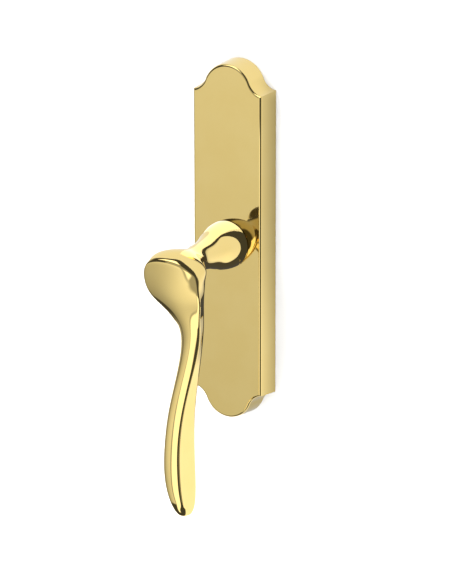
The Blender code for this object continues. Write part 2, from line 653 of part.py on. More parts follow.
def station_ring(station):
    """The eight corners of a section: outer, outer right, right, inner right, inner, and so on round."""
    tilt, roll = math.radians(station.tilt), math.radians(station.roll)
    outward = Vector((0, -math.sin(tilt), math.cos(tilt)))
    corners = []
    for i, (corner, grip_corner) in enumerate(zip(HEAD_CORNERS, GRIP_CORNERS)):
        angle = math.radians(corner)
        proud = RIDGE_HEIGHT if i == 1 else 1.0
        head_corner = (math.copysign(abs(value) ** (2 / station.power), value) * proud
                       for value in (math.sin(angle), math.cos(angle)))
        across, along = (head + (grip - head) * station.grip for head, grip in zip(head_corner, grip_corner))
        across *= station.width
        along *= station.outer if along > 0 else station.inner
        turned_across = across * math.cos(roll) + along * math.sin(roll)
        turned_along = along * math.cos(roll) - across * math.sin(roll)
        offset = Vector((turned_across, 0, 0)) + outward * turned_along
        corners.append(in_front(station.x, station.depth, station.z) + offset * MM)
    return corners


def swell_to_fit(rings, tip, rounds=12):
    """Move a cage's corners outwards until its subdivided surface passes through the given rings."""
    cage = [list(ring_points) for ring_points in rings]
    last = len(rings) - 1

    def across(row, i):
        return (row[i - 1] + 4 * row[i] + row[(i + 1) % 8]) / 6

    for _ in range(rounds):
        rows = [[across(row, i) for i in range(8)] for row in cage] + [[tip] * 8]
        for k in range(last + 1):
            for i in range(8):
                surface = rows[k][i] if k == 0 else (rows[k - 1][i] + 4 * rows[k][i] + rows[k + 1][i]) / 6
                cage[k][i] = cage[k][i] + rings[k][i] - surface
    return cage


def lever_mesh():
    """The casting's cage: a tube of eight-sided rings from the neck's foot to the tip."""
    rings = [neck_ring(*row) for row in NECK_PROFILE]
    rings += [station_ring(station) for station in HEAD_STATIONS + LEVER_STATIONS]
    middle_line = rings[len(NECK_PROFILE) + 4][0]
    for station, share in BROW_CUT:
        row = rings[len(NECK_PROFILE) + station]
        row[1] = row[1].lerp(middle_line, share)
    tip = in_front(*TIP)
    bm = bmesh.new()
    crease = bm.edges.layers.float.new("crease_edge")
    verts = [[bm.verts.new(corner) for corner in row] for row in swell_to_fit(rings, tip)]
    for upper, lower in zip(verts, verts[1:]):
        for i in range(8):
            j = (i + 1) % 8
            bm.faces.new((upper[i], upper[j], lower[j], lower[i]))
    for end, middle in ((verts[0], in_front(0, NECK_PROFILE[0][0], 0)), (verts[-1], tip)):
        pole = bm.verts.new(middle)
        for i in range(0, 8, 2):
            bm.faces.new((end[i], end[i + 1], end[(i + 2) % 8], pole))

    def set_crease(first, second, value):
        bm.edges.get((first, second))[crease] = value

    for i in range(8):
        set_crease(verts[0][i], verts[0][(i + 1) % 8], 1.0)
    brow = len(NECK_PROFILE) + 3
    left_end = len(NECK_PROFILE) + len(HEAD_STATIONS) + 1
    for k in range(brow, len(verts) - 2):
        set_crease(verts[k][1], verts[k + 1][1], HEAD_CREASE if k < left_end else RIDGE_CREASE)
        if k < left_end:
            set_crease(verts[k][7], verts[k + 1][7], HEAD_CREASE)
    set_crease(verts[brow][0], verts[brow][1], RIDGE_CREASE)
    set_crease(verts[brow][7], verts[brow][0], RIDGE_CREASE)
    bmesh.ops.recalc_face_normals(bm, faces=bm.faces)
    mesh = bpy.data.meshes.new("lever_handle")
    bm.to_mesh(mesh)
    bm.free()
    mesh.shade_smooth()
    return mesh


def make_lever_handle():
    lever = add_object("lever_handle", lever_mesh(), BRASS)
    smooth = lever.modifiers.new("smooth", "SUBSURF")
    smooth.levels = smooth.render_levels = 2
    shelf = NECK_BASE + NECK_SEAT_DEPTH
    seat = [(0, BUSH_FRONT + GAP), (BUSH_RADIUS + GAP, BUSH_FRONT + GAP), (BUSH_RADIUS + GAP, shelf),
            (NECK_SEAT_RADIUS, shelf), (NECK_SEAT_RADIUS, 10 * MM), (0, 10 * MM)]
    combine(lever, turned("neck_seat", seat, steps=40))
    hole = SPINDLE_WIDTH / 2 + GAP
    combine(lever, box("spindle_socket", (-hole, -SPINDLE_FRONT - 0.5 * MM, -hole), (hole, -10 * MM, hole)))
    combine(lever, rod("grub_hole", 2.5 * MM, 1 * MM, 20 * MM, steps=24, location=(0, -GRUB_DEPTH, 0),
                       rotation=(math.pi, 0, 0)))
    return lever


# ---------------------------------------------------------------- assembly

def build():
    make_cover()
    make_base_plate()
    make_gear_housing()
    make_housing_lid()
    make_bushes()
    for index, place in enumerate(case_screw_places(), start=1):
        make_case_screw(index, place)

    turning = [make_lever_handle(), make_spindle(), make_circlip(), make_grub_screw(), make_pinion()]
    parent_to(turning, joint_empty("handle_turn"))

    for label, side in (("upper", 1), ("lower", -1)):
        make_fixing_screw(label, side)
        make_cover_clip(label, side)
        make_clip_rivet(label, side)
        drive = [make_rack(label, side), make_peg(label, side)]
        parent_to(drive, joint_empty(f"{label}_rack_slide", (0, 0, side * PEG_HEIGHT)))
        pin, _ = make_detent(label, side)
        parent_to([pin], joint_empty(f"{label}_detent_slide", (0, -DETENT_DEPTH, side * COLLAR_RADIUS)))


build()
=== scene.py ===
"""Cremone window handle in polished brass, in front of a white backdrop under soft studio light.

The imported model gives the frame: the lengths and places below are read from its nodes, or are the
design's own dimensions where a node's box can't tell them.  Metres, +Z up, the handle faces -Y.
"""

import math
from collections import namedtuple

import bmesh
import bpy
from mathutils import Matrix, Vector


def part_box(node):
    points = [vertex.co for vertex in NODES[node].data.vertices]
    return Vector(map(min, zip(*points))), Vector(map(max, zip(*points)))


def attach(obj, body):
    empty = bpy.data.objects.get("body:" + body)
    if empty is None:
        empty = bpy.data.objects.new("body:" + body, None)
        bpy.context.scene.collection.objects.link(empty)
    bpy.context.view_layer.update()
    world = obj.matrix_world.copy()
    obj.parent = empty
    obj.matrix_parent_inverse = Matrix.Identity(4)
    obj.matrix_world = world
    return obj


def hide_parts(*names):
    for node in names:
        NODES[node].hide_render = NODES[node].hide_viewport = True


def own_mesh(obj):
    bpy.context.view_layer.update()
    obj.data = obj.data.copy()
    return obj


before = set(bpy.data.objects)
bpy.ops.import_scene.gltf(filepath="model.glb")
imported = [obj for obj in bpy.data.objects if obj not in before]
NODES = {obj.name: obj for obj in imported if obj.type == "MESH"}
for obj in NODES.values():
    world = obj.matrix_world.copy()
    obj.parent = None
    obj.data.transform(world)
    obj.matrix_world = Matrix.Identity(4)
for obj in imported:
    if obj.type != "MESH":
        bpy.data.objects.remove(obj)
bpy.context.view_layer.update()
MM = 0.001

# ---------------------------------------------------------------- sizes, from the frame

COVER_LOW, COVER_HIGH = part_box("cover")
COVER_WIDTH = COVER_HIGH.x - COVER_LOW.x
COVER_HEIGHT = COVER_HIGH.z - COVER_LOW.z
COVER_DEPTH = -COVER_LOW.y
BUSH_LOW, BUSH_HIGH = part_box("front_bush")
WASHER_LOW, WASHER_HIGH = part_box("neck_washer")
SPINDLE_LOW, SPINDLE_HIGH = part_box("spindle")
GRUB_LOW, GRUB_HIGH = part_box("neck_grub_screw")
GAP = 0.3 * MM
COVER_WALL = 1.5 * MM
COVER_DRAFT = 1.0 * MM
COVER_RIM = 0.25 * MM             # easing of the back rim
EDGE_RADIUS = 1.2 * MM
HOLLOW_RADIUS = 0.7 * MM          # round inside the front edge
COVER_HOLE = (5 * MM, 20 * MM)    # the bush's hole is cut between these depths
ARCH_RADIUS = 13.4 * MM
SHOULDER_RADIUS = 8.0 * MM
ARCH_SWEEP = math.radians(68.0)
BUSH_FRONT = -BUSH_LOW.y
SPINDLE_FRONT = -SPINDLE_LOW.y
SPINDLE_HALF = 3.5 * MM
BUSH_RADIUS = 8.7 * MM
SEAT_RADIUS = (WASHER_HIGH.x - WASHER_LOW.x) / 2 + GAP
SEAT_SHELF = -WASHER_LOW.y + GAP
GRUB_DEPTH = -(GRUB_LOW.y + GRUB_HIGH.y) / 2
GRUB_HOLE_RADIUS = 2.5 * MM
GRUB_HOLE = (1 * MM, 20 * MM)     # from inside the spindle to below the neck
SOCKET_END = 0.5 * MM             # room in front of the spindle
SOCKET_BACK = 10 * MM             # behind the neck's rear end

# Fixing screws
SCREW_HEAD_HEIGHT = 2.6 * MM
SCREW_HEAD_PROFILE = [(0.02, 0.0), (0.35, 0.0), (0.62, 0.10), (0.82, 0.30), (0.94, 0.62), (1.0, 1.15),
                      (1.0, 2.45), (0.97, 2.6)]           # (share of the radius, mm behind the top)
THREAD_ROOT, THREAD_CREST, THREAD_PITCH = 1.55 * MM, 2.3 * MM, 1.8 * MM
THREAD_RUN_IN = 1.2 * MM          # over which the shank goes over to thread
THREAD_TAPER = 4.2 * MM           # length of the point
RIDGE_SHARE = 0.34                # half width of the thread's ridge, in pitches
POINT_RADIUS = 0.05 * MM
SCREW_SIDES, SCREW_STEPS = 36, 150
RECESS_LONG, RECESS_SHORT, RECESS_DEPTH = 2.3, 0.42, 1.6  # mm, half sizes of one bar of the cross

# Detent springs
WIRE_RADIUS = 0.2 * MM
SPRING_TURNS = 7.5
SPRING_STEPS_PER_TURN, WIRE_SIDES = 28, 10
END_CLOSING = 0.75                # 0 for an even pitch, 1 for ends that lie flat


# ---------------------------------------------------------------- node helpers

def new_material(name):
    material = bpy.data.materials.new(name)
    material.use_nodes = True
    tree = material.node_tree
    tree.nodes.clear()
    return material, tree


def add_node(tree, kind, inputs=None, **settings):
    node = tree.nodes.new(kind)
    for key, value in settings.items():
        setattr(node, key, value)
    for key, value in (inputs or {}).items():
        if isinstance(value, bpy.types.NodeSocket):
            tree.links.new(value, node.inputs[key])
        else:
            node.inputs[key].default_value = value
    return node


def math_node(tree, operation, first, second=0.0):
    return add_node(tree, "ShaderNodeMath", {0: first, 1: second}, operation=operation).outputs[0]


def remap(tree, value, low, high, out_low, out_high, smooth=True):
    node = add_node(tree, "ShaderNodeMapRange", {"Value": value, "From Min": low, "From Max": high,
                                                 "To Min": out_low, "To Max": out_high})
    node.interpolation_type = "SMOOTHSTEP" if smooth else "LINEAR"
    return node.outputs["Result"]


def object_coordinates(tree, scale=(1, 1, 1)):
    position = add_node(tree, "ShaderNodeTexCoord").outputs["Object"]
    return add_node(tree, "ShaderNodeMapping", {"Vector": position, "Scale": scale}).outputs["Vector"]


def noise(tree, vector, scale, detail=2.0, roughness=0.5):
    return add_node(tree, "ShaderNodeTexNoise", {"Vector": vector, "Scale": scale, "Detail": detail,
                                                 "Roughness": roughness}).outputs[0]


def bump(tree, height, strength, distance, below=None):
    inputs = {"Height": height, "Strength": strength, "Distance": distance}
    if below:
        inputs["Normal"] = below
    return add_node(tree, "ShaderNodeBump", inputs).outputs["Normal"]


def colour_mix(tree, factor, first, second):
    node = add_node(tree, "ShaderNodeMix", data_type="RGBA")
    for socket, value in zip((node.inputs[0], node.inputs[6], node.inputs[7]), (factor, first, second)):
        if isinstance(value, bpy.types.NodeSocket):
            tree.links.new(value, socket)
        else:
            socket.default_value = value
    return node.outputs[2]


def principled(tree, **inputs):
    named = {key.replace("_", " "): value for key, value in inputs.items()}
    shader = add_node(tree, "ShaderNodeBsdfPrincipled", named)
    add_node(tree, "ShaderNodeOutputMaterial", {"Surface": shader.outputs[0]})


# ---------------------------------------------------------------- materials

def polished_brass():
    """Mirror-polished brass under clear lacquer, with faint waves and hairlines from the polishing."""
    material, tree = new_material("polished_brass")
    place = object_coordinates(tree)
    waves = noise(tree, place, 38.0, 1.0)
    grain = noise(tree, place, 900.0, 3.0, 0.6)
    hairlines = noise(tree, object_coordinates(tree, (4200.0, 600.0, 90.0)), 1.0, 2.0)
    tone = colour_mix(tree, remap(tree, noise(tree, place, 60.0, 3.0), 0.35, 0.65, 0.0, 1.0),
                      (0.930, 0.712, 0.262, 1), (0.942, 0.730, 0.280, 1))
    rough = math_node(tree, "ADD", remap(tree, grain, 0.4, 0.7, 0.030, 0.055),
                      remap(tree, hairlines, 0.62, 0.75, 0.0, 0.05))
    normal = bump(tree, waves, 0.06, 0.4 * MM)
    normal = bump(tree, grain, 0.03, 0.01 * MM, normal)
    principled(tree, Base_Color=tone, Metallic=1.0, Roughness=rough, Normal=normal, Coat_Weight=0.25,
               Coat_Roughness=0.03)
    return material


def zinc_plate():
    """Bright zinc plating: pale, with cloudy bluish and straw tints and a fine satin."""
    material, tree = new_material("zinc_plated_steel")
    place = object_coordinates(tree)
    clouds = noise(tree, place, 140.0, 4.0)
    satin = noise(tree, place, 4200.0, 2.0)
    tint = colour_mix(tree, remap(tree, clouds, 0.3, 0.75, 0.0, 1.0), (0.61, 0.64, 0.68, 1),
                      (0.68, 0.68, 0.64, 1))
    spots = remap(tree, noise(tree, place, 900.0, 5.0), 0.66, 0.74, 0.0, 0.35)
    tint = colour_mix(tree, spots, tint, (0.34, 0.34, 0.33, 1))
    rough = math_node(tree, "ADD", remap(tree, clouds, 0.3, 0.7, 0.24, 0.40), spots)
    principled(tree, Base_Color=tint, Metallic=1.0, Roughness=rough,
               Normal=bump(tree, satin, 0.25, 0.02 * MM))
    return material


def bright_steel():
    """Cut and turned steel: fine tool marks across the part, a little oil stain."""
    material, tree = new_material("bright_steel")
    place = object_coordinates(tree)
    marks = noise(tree, object_coordinates(tree, (900.0, 900.0, 9000.0)), 1.0, 2.0)
    stain = remap(tree, noise(tree, place, 180.0, 5.0), 0.5, 0.75, 0.0, 1.0)
    tone = colour_mix(tree, stain, (0.60, 0.61, 0.62, 1), (0.44, 0.42, 0.38, 1))
    rough = math_node(tree, "ADD", remap(tree, marks, 0.3, 0.7, 0.18, 0.36),
                      math_node(tree, "MULTIPLY", stain, 0.12))
    principled(tree, Base_Color=tone, Metallic=1.0, Roughness=rough,
               Normal=bump(tree, marks, 0.35, 0.02 * MM))
    return material


def spring_steel():
    """Hardened strip and wire, tempered to a dark blue-grey."""
    material, tree = new_material("spring_steel")
    place = object_coordinates(tree)
    temper = remap(tree, noise(tree, place, 260.0, 3.0), 0.35, 0.7, 0.0, 1.0)
    tone = colour_mix(tree, temper, (0.22, 0.25, 0.33, 1), (0.38, 0.35, 0.33, 1))
    drawn = noise(tree, object_coordinates(tree, (5000.0, 5000.0, 500.0)), 1.0, 2.0)
    principled(tree, Base_Color=tone, Metallic=1.0, Roughness=remap(tree, drawn, 0.3, 0.7, 0.22, 0.38),
               Normal=bump(tree, drawn, 0.2, 0.01 * MM))
    return material


def die_cast():
    """Zinc as it leaves the mould: matt grey, with flow marks and small pits."""
    material, tree = new_material("die_cast_zinc")
    place = object_coordinates(tree)
    flow = noise(tree, place, 220.0, 5.0, 0.6)
    pits = add_node(tree, "ShaderNodeTexVoronoi", {"Vector": place, "Scale": 1500.0}).outputs["Distance"]
    pits = remap(tree, pits, 0.05, 0.22, 0.0, 1.0)
    tone = colour_mix(tree, remap(tree, flow, 0.35, 0.65, 0.0, 1.0), (0.40, 0.41, 0.43, 1),
                      (0.56, 0.57, 0.58, 1))
    normal = bump(tree, flow, 0.3, 0.05 * MM)
    principled(tree, Base_Color=tone, Metallic=0.9, Roughness=remap(tree, flow, 0.3, 0.7, 0.42, 0.6),
               Normal=bump(tree, pits, 0.3, 0.03 * MM, normal))
    return material


def nylon():
    """Moulded natural nylon: slightly translucent, warm white, with a fine spark-eroded texture."""
    material, tree = new_material("white_nylon")
    place = object_coordinates(tree)
    texture = noise(tree, place, 5200.0, 3.0)
    tone = colour_mix(tree, noise(tree, place, 120.0, 3.0), (0.80, 0.78, 0.71, 1), (0.86, 0.85, 0.80, 1))
    principled(tree, Base_Color=tone, Metallic=0.0, Roughness=remap(tree, texture, 0.3, 0.7, 0.42, 0.58),
               Subsurface_Weight=0.15, Subsurface_Scale=0.6 * MM,
               Normal=bump(tree, texture, 0.2, 0.02 * MM))
    return material


def black_oxide():
    """Blackened steel, oily, worn to bare metal on the highest spots."""
    material, tree = new_material("black_oxide_steel")
    place = object_coordinates(tree)
    wear = remap(tree, noise(tree, place, 1500.0, 6.0, 0.65), 0.62, 0.72, 0.0, 0.6)
    tone = colour_mix(tree, wear, (0.045, 0.045, 0.05, 1), (0.35, 0.34, 0.33, 1))
    principled(tree, Base_Color=tone, Metallic=1.0, Roughness=remap(tree, wear, 0.0, 0.6, 0.42, 0.28),
               Normal=bump(tree, noise(tree, place, 4000.0, 2.0), 0.2, 0.02 * MM))
    return material


MATERIALS = {
    "polished_brass": polished_brass(),
    "zinc_plated_steel": zinc_plate(),
    "bright_steel": bright_steel(),
    "spring_steel": spring_steel(),
    "die_cast_zinc": die_cast(),
    "white_nylon": nylon(),
    "black_oxide_steel": black_oxide(),
}


# ---------------------------------------------------------------- mesh helpers

def link_mesh(name, bm, material=None):
    mesh = bpy.data.meshes.new(name)
    bm.to_mesh(mesh)
    bm.free()
    obj = bpy.data.objects.new(name, mesh)
    bpy.context.scene.collection.objects.link(obj)
    if material:
        mesh.materials.append(MATERIALS[material])
    return obj


def circle(steps):
    return [2 * math.pi * i / steps for i in range(steps)]


def skin(bm, rings):
    """Faces between each ring of vertices and the next."""
    for ring, following in zip(rings, rings[1:]):
        for i in range(len(ring)):
            j = (i + 1) % len(ring)
            bm.faces.new((ring[i], ring[j], following[j], following[i]))


def turned(name, profile, steps=96):
    """Turn a closed profile of (radius, depth in front of the sash) about the spindle's axis."""
    bm = bmesh.new()
    rows = [[bm.verts.new((r * math.cos(a), -depth, r * math.sin(a))) for a in circle(steps)]
            for r, depth in profile]
    skin(bm, rows + rows[:1])
    bmesh.ops.remove_doubles(bm, verts=bm.verts, dist=1e-7)
    bmesh.ops.recalc_face_normals(bm, faces=bm.faces)
    return link_mesh(name, bm)


def block(name, low, high):
    bm = bmesh.new()
    bmesh.ops.create_cube(bm, size=1.0)
    low, high = Vector(low), Vector(high)
    bmesh.ops.scale(bm, vec=high - low, verts=bm.verts)
    bmesh.ops.translate(bm, vec=(low + high) / 2, verts=bm.verts)
    return link_mesh(name, bm)


def settle(obj, cutters=(), sharp=32.0):
    """Cut obj, make its modifiers final, shade it smooth and keep the edges sharper than an angle."""
    for cutter in cutters:
        cut = obj.modifiers.new(f"cut_{cutter.name}", "BOOLEAN")
        cut.operation = "DIFFERENCE"
        cut.object = cutter
        cut.solver = "EXACT"
    bpy.context.view_layer.update()
    evaluated = obj.evaluated_get(bpy.context.evaluated_depsgraph_get())
    mesh = bpy.data.meshes.new_from_object(evaluated)
    obj.modifiers.clear()
    old, obj.data = obj.data, mesh
    mesh.name = obj.name
    bpy.data.meshes.remove(old)
    for cutter in cutters:
        bpy.data.objects.remove(cutter, do_unlink=True)
    bm = bmesh.new()
    bm.from_mesh(mesh)
    bmesh.ops.remove_doubles(bm, verts=bm.verts, dist=1e-7)
    bmesh.ops.dissolve_degenerate(bm, edges=bm.edges, dist=1e-7)
    for face in bm.faces:
        face.smooth = True
    for edge in bm.edges:
        edge.smooth = not (edge.is_manifold and edge.calc_face_angle() > math.radians(sharp))
    bm.to_mesh(mesh)
    bm.free()
    return obj


def weigh_normals(obj):
    weighted = obj.modifiers.new("weighted_normals", "WEIGHTED_NORMAL")
    weighted.keep_sharp = True
    weighted.weight = 100
    return obj


# ---------------------------------------------------------------- cover

def arc(centre, radius, start, end, steps):
    return [(centre[0] + radius * math.cos(start + (end - start) * i / steps),
             centre[1] + radius * math.sin(start + (end - start) * i / steps)) for i in range(steps + 1)]


def ogee_outline(inset=0.0, steps=20):
    """The cover's outline, shrunk by inset: straight sides, concave shoulders and a convex arch."""
    arch_z = COVER_HEIGHT / 2 - ARCH_RADIUS
    reach = ARCH_RADIUS + SHOULDER_RADIUS
    shoulder_x = reach * math.sin(ARCH_SWEEP)
    shoulder_z = arch_z + reach * math.cos(ARCH_SWEEP)
    half_width = COVER_WIDTH / 2 - inset
    radius = SHOULDER_RADIUS + inset
    up = math.pi / 2
    corner = math.acos((shoulder_x - half_width) / radius)
    right = arc((shoulder_x, shoulder_z), radius, math.pi + corner, 1.5 * math.pi - ARCH_SWEEP, steps)
    crown = arc((0, arch_z), ARCH_RADIUS - inset, up - ARCH_SWEEP, up + ARCH_SWEEP, 3 * steps)
    top = right + crown[1:-1] + [(-x, z) for x, z in reversed(right)]
    return top + [(-x, -z) for x, z in top]


def rounded_edge(slope, inset, depth, radius, steps):
    """(inset, depth) points of the round between a side that leans by slope and a flat face at depth."""
    lean = math.sqrt(1 + slope * slope)
    centre = (inset + slope * (depth - radius) + radius * lean, depth - radius)
    start = math.atan2(slope / lean, -1 / lean)
    return arc(centre, radius, start, math.pi / 2, steps)


def make_cover():
    """A pressed shell: leaning sides, a rounded front edge, an eased back rim and a hollow behind."""
    slope = COVER_DRAFT / COVER_DEPTH
    rim = COVER_RIM
    outer = [(rim, 0.0), (rim * 0.3, rim * 0.3), (slope * rim, rim)]
    outer += rounded_edge(slope, 0.0, COVER_DEPTH, EDGE_RADIUS, 10)
    hollow_front = COVER_DEPTH - COVER_WALL
    inner = [(COVER_WALL - rim, 0.0), (COVER_WALL + slope * rim, rim)]
    inner += rounded_edge(slope, COVER_WALL, hollow_front, HOLLOW_RADIUS, 6)
    bm = bmesh.new()

    def ring(inset, depth):
        return [bm.verts.new((x, -depth, z)) for x, z in ogee_outline(inset)]

    outer_rings = [ring(*place) for place in outer]
    inner_rings = [ring(*place) for place in inner]
    skin(bm, outer_rings)
    skin(bm, inner_rings)
    skin(bm, [outer_rings[0], inner_rings[0]])
    bm.faces.new(outer_rings[-1])
    bm.faces.new(inner_rings[-1])
    bmesh.ops.recalc_face_normals(bm, faces=bm.faces)
    cover = link_mesh("cover_shell", bm, "polished_brass")
    back, front = COVER_HOLE
    radius = BUSH_RADIUS + GAP
    hole = turned("cover_hole", [(0, back), (radius, back), (radius, front), (0, front)])
    settle(cover, [hole], 25.0)
    return weigh_normals(cover)


# ---------------------------------------------------------------- lever casting

# One station of the casting: the centre of a section (depth counts from the cover's face), its tilt and
# roll, half width, outer and inner reach, superellipse power and share of the grip's own section.
Station = namedtuple("Station", "x depth z tilt roll width outer inner power grip")

NECK_PROFILE = [(0.3, 11.3), (4.0, 11.1), (8.0, 10.4), (12.0, 9.3), (16.5, 7.8), (22.0, 6.7), (28.0, 6.2)]

HEAD_STATIONS = [
    Station(0.0, 33.0, -0.2, 4, 4, 7.4, 6.3, 6.8, 2.0, 0),
    Station(-0.2, 37.2, -0.5, 14, 10, 10.2, 7.9, 7.2, 2.1, 0),
    Station(-0.4, 41.0, -0.9, 28, 14, 12.6, 9.2, 8.0, 2.3, 0),
    Station(-0.4, 44.2, -2.8, 47, 12, 13.5, 8.8, 8.4, 2.6, 0),
    Station(-0.1, 45.2, -8.0, 72, 4, 13.3, 6.8, 6.9, 2.7, 0),
    Station(1.7, 45.3, -14.0, 90, 0, 11.6, 6.4, 6.3, 2.6, 0),
]

LEVER_STATIONS = [
    Station(5.2, 45.3, -20.0, 90, 0, 8.0, 5.8, 5.7, 2.5, 0),
    Station(7.4, 45.3, -26.0, 90, 0, 5.8, 5.2, 5.1, 2.4, 0),
    Station(7.9, 45.3, -33.0, 90, 0, 4.9, 4.8, 4.7, 2.3, 0),
    Station(7.0, 45.3, -42.0, 90, 0, 5.0, 4.9, 4.8, 2.2, 0.25),
    Station(4.8, 45.3, -54.0, 90, 0, 5.6, 5.4, 5.3, 2.1, 0.6),
    Station(2.4, 45.3, -68.0, 90, 0, 6.3, 6.2, 6.1, 2.1, 0.85),
    Station(1.2, 45.3, -83.0, 90, 0, 6.8, 7.0, 6.9, 2.1, 1),
    Station(1.2, 45.3, -97.0, 90, 0, 7.0, 7.4, 7.4, 2.1, 1),
    Station(2.2, 45.3, -107.5, 90, 0, 6.2, 6.8, 6.8, 2.1, 1),
    Station(3.3, 45.3, -114.5, 90, 0, 4.8, 5.1, 5.1, 2.0, 1),
    Station(3.9, 45.3, -118.4, 90, 0, 2.6, 2.8, 2.8, 2.0, 1),
]
TIP = (4.0, 45.3, -119.6)

HEAD_CORNERS = (0, 60, 95, 135, 180, 225, 265, 300)
GRIP_CORNERS = ((-0.40, 1.13), (0.34, 0.85), (0.66, 0.17), (0.80, -0.52),
                (0.36, -0.96), (-0.32, -0.87), (-0.81, -0.28), (-0.78, 0.60))
SIDES = len(HEAD_CORNERS)
RIDGE_HEIGHT = 1.03
RIDGE_CREASE = 0.45
HEAD_CREASE = 0.8
# The head's front ends in a cut corner: (station, share of the way from its ridge to the face's middle).
BROW_CUT = ((3, 0.08), (4, 0.08))


def in_front(x, depth, z):
    return Vector((x * MM, -COVER_DEPTH - depth * MM, z * MM))


def neck_ring(depth, radius):
    angles = [math.pi / 4 * i for i in range(SIDES)]
    return [in_front(radius * math.sin(angle), depth, radius * math.cos(angle)) for angle in angles]


def station_ring(station):
    """The eight corners of a section: outer, outer right, right, inner right, inner, and so on round."""
    tilt, roll = math.radians(station.tilt), math.radians(station.roll)
    outward = Vector((0, -math.sin(tilt), math.cos(tilt)))
    corners = []
    for i, (corner, grip_corner) in enumerate(zip(HEAD_CORNERS, GRIP_CORNERS)):
        angle = math.radians(corner)
        proud = RIDGE_HEIGHT if i == 1 else 1.0
        head_corner = (math.copysign(abs(value) ** (2 / station.power), value) * proud
                       for value in (math.sin(angle), math.cos(angle)))
        across, along = (head + (grip - head) * station.grip
                         for head, grip in zip(head_corner, grip_corner))
        across *= station.width
        along *= station.outer if along > 0 else station.inner
        turned_across = across * math.cos(roll) + along * math.sin(roll)
        turned_along = along * math.cos(roll) - across * math.sin(roll)
        offset = Vector((turned_across, 0, 0)) + outward * turned_along
        corners.append(in_front(station.x, station.depth, station.z) + offset * MM)
    return corners


def swell_to_fit(rings, tip, rounds=12):
    """Move a cage's corners outwards until its subdivided surface passes through the given rings."""
    cage = [list(ring_points) for ring_points in rings]
    last = len(rings) - 1

    def across(row, i):
        return (row[i - 1] + 4 * row[i] + row[(i + 1) % SIDES]) / 6

    for _ in range(rounds):
        rows = [[across(row, i) for i in range(SIDES)] for row in cage] + [[tip] * SIDES]
        for k in range(last + 1):
            for i in range(SIDES):
                surface = rows[k][i]
                if k > 0:
                    surface = (rows[k - 1][i] + 4 * rows[k][i] + rows[k + 1][i]) / 6
                cage[k][i] = cage[k][i] + rings[k][i] - surface
    return cage


def lever_cage():
    rings = [neck_ring(*row) for row in NECK_PROFILE]
    rings += [station_ring(station) for station in HEAD_STATIONS + LEVER_STATIONS]
    middle_line = rings[len(NECK_PROFILE) + 4][0]
    for station, share in BROW_CUT:
        row = rings[len(NECK_PROFILE) + station]
        row[1] = row[1].lerp(middle_line, share)
    tip = in_front(*TIP)
    bm = bmesh.new()
    crease = bm.edges.layers.float.new("crease_edge")
    verts = [[bm.verts.new(corner) for corner in row] for row in swell_to_fit(rings, tip)]
    skin(bm, verts)
    for end, middle in ((verts[0], in_front(0, NECK_PROFILE[0][0], 0)), (verts[-1], tip)):
        pole = bm.verts.new(middle)
        for i in range(0, SIDES, 2):
            bm.faces.new((end[i], end[i + 1], end[(i + 2) % SIDES], pole))

    def set_crease(first, second, value):
        bm.edges.get((first, second))[crease] = value

    for i in range(SIDES):
        set_crease(verts[0][i], verts[0][(i + 1) % SIDES], 1.0)
    brow = len(NECK_PROFILE) + 3
    left_end = len(NECK_PROFILE) + len(HEAD_STATIONS) + 1
    for k in range(brow, len(verts) - 2):
        set_crease(verts[k][1], verts[k + 1][1], HEAD_CREASE if k < left_end else RIDGE_CREASE)
        if k < left_end:
            set_crease(verts[k][7], verts[k + 1][7], HEAD_CREASE)
    set_crease(verts[brow][0], verts[brow][1], RIDGE_CREASE)
    set_crease(verts[brow][7], verts[brow][0], RIDGE_CREASE)
    bmesh.ops.recalc_face_normals(bm, faces=bm.faces)
    return bm


def make_lever():
    lever = link_mesh("lever_casting", lever_cage(), "polished_brass")
    smooth = lever.modifiers.new("smooth", "SUBSURF")
    smooth.levels = smooth.render_levels = 4
    seat = turned("neck_seat", [
        (0, BUSH_FRONT + GAP), (BUSH_RADIUS + GAP, BUSH_FRONT + GAP), (BUSH_RADIUS + GAP, SEAT_SHELF),
        (SEAT_RADIUS, SEAT_SHELF), (SEAT_RADIUS, SOCKET_BACK), (0, SOCKET_BACK)])
    hole = SPINDLE_HALF + GAP
    socket = block("spindle_socket", (-hole, -SPINDLE_FRONT - SOCKET_END, -hole),
                   (hole, -SOCKET_BACK, hole))
    start, end = GRUB_HOLE
    radius = GRUB_HOLE_RADIUS
    grub = turned("grub_hole", [(0, start), (radius, start), (radius, end), (0, end)], 48)
    grub.matrix_world = Matrix.Translation((0, -GRUB_DEPTH, 0)) @ Matrix.Rotation(math.pi / 2, 4, "X")
    return settle(lever, [seat, socket, grub], 40.0)


# ---------------------------------------------------------------- fixing screws and detent springs

def tube(rows):
    """A bmesh skin over rows of points, each row a closed loop, with a cap at both ends."""
    bm = bmesh.new()
    verts = [[bm.verts.new(point) for point in row] for row in rows]
    skin(bm, verts)
    bm.faces.new(verts[0])
    bm.faces.new(verts[-1])
    bmesh.ops.remove_doubles(bm, verts=bm.verts, dist=1e-8)
    bmesh.ops.recalc_face_normals(bm, faces=bm.faces)
    return bm


def thread_row(y, thread_end):
    """The screw's section at y: a shank that goes over to a helical thread and tapers to a point."""
    grow = min(1.0, max(0.0, y / THREAD_RUN_IN + 0.5))
    taper = min(1.0, max(0.0, (thread_end - y) / THREAD_TAPER)) ** 0.8
    height = THREAD_CREST - THREAD_ROOT
    row = []
    for i, angle in enumerate(circle(SCREW_SIDES)):
        phase = (y / THREAD_PITCH - i / SCREW_SIDES) % 1.0
        ridge = max(0.0, 1.0 - abs(phase - 0.5) / RIDGE_SHARE)
        radius = (THREAD_CREST - height * grow + height * ridge * grow) * taper + POINT_RADIUS
        row.append((radius * math.cos(angle), y, radius * math.sin(angle)))
    return row


